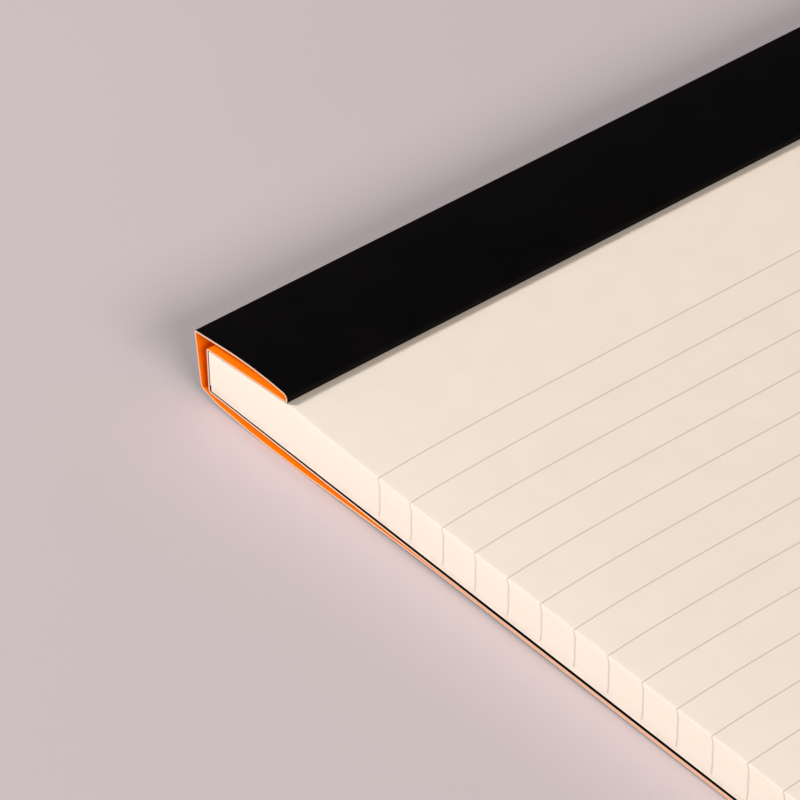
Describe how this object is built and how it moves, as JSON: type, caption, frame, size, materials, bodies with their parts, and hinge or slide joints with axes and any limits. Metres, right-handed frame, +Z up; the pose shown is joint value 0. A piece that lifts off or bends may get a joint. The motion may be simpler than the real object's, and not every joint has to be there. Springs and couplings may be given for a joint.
{
  "type": "head-stapled writing pad",
  "caption": "Ruled writing pad stapled at the head, its one-piece card cover flipped open, folded back over the head and tucked under the pad.",
  "frame": {"origin": "middle of the pad's outline on the table it lies on", "axes": "+X across the sheets to the right, +Y along the sheets towards the stapled head, +Z up from the table"},
  "size_m": [0.148, 0.2134, 0.0129],
  "materials": {
    "sheets": "matt ivory paper with thin grey ruled lines",
    "board": "matt pale board",
    "cover_card": "satin coated card, orange outside and black inside, with a pale cut edge",
    "staple_wire": "galvanised wire"
  },
  "bodies": {
    "root": {"page_block": "sheets", "backing_board": "board", "cover": "cover_card", "staple_left": "staple_wire", "staple_right": "staple_wire"}
  },
  "joints": []
}
